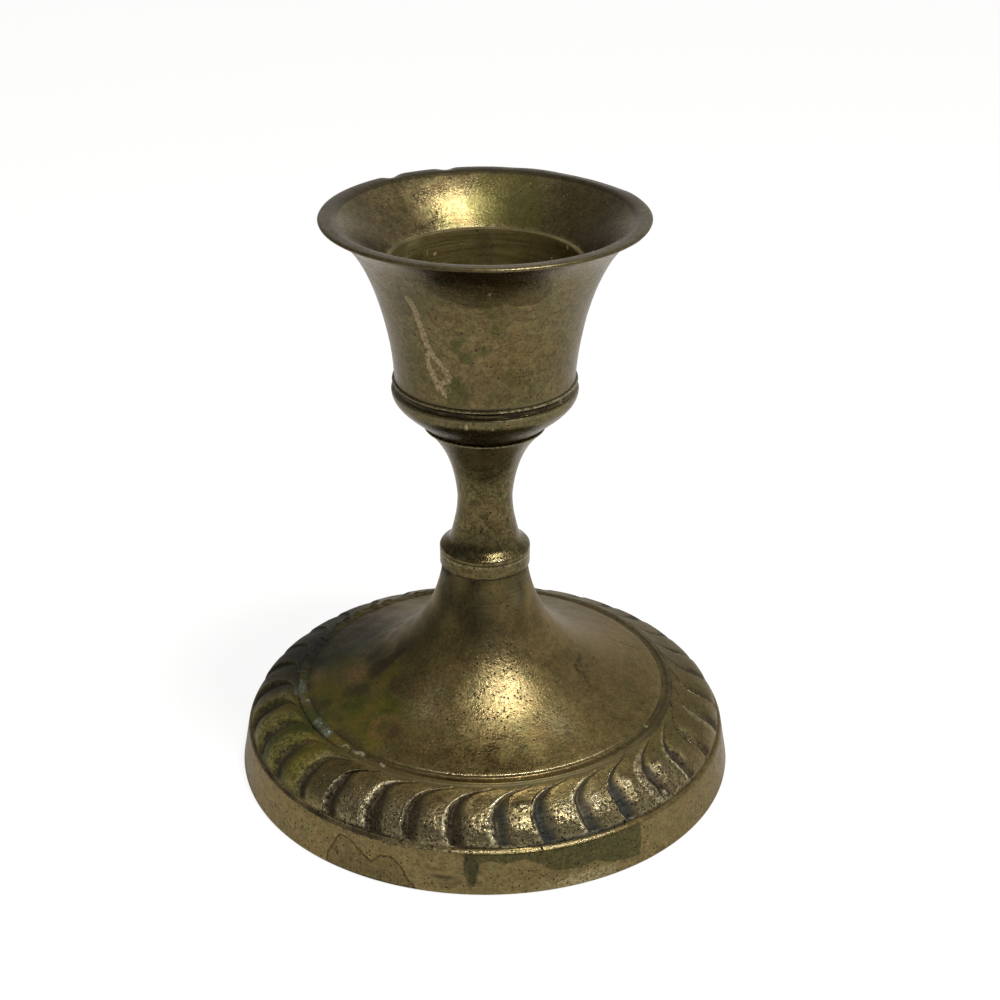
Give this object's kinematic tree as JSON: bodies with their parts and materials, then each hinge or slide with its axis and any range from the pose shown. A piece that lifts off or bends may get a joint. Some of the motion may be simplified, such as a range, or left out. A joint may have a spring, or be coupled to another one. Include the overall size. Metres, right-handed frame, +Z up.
{
  "type": "taper candle holder",
  "caption": "Short turned brass holder for one taper candle: wide hollow base with a gadrooned band, waisted stem, collar and flared cup.",
  "frame": {"origin": "on the turning axis, on the surface that the base stands on", "axes": "+Z up along the turning axis, -Y towards the viewer of the picture, +X to the right in it"},
  "size_m": [0.065, 0.065, 0.075],
  "materials": {
    "base_brass": "aged cast brass, turned outside, satin, with dark tarnish and small pits",
    "stem_brass": "aged turned brass, satin, darkened in the grooves",
    "cup_brass": "aged turned brass, satin, brown-green tarnish, brighter inside the flare",
    "screw_steel": "dull zinc-plated steel"
  },
  "bodies": {
    "root": {"base": "base_brass", "stem": "stem_brass", "cup_collar": "stem_brass", "candle_cup": "cup_brass", "cup_screw": "screw_steel", "base_washer": "screw_steel", "base_screw": "screw_steel"}
  },
  "joints": []
}
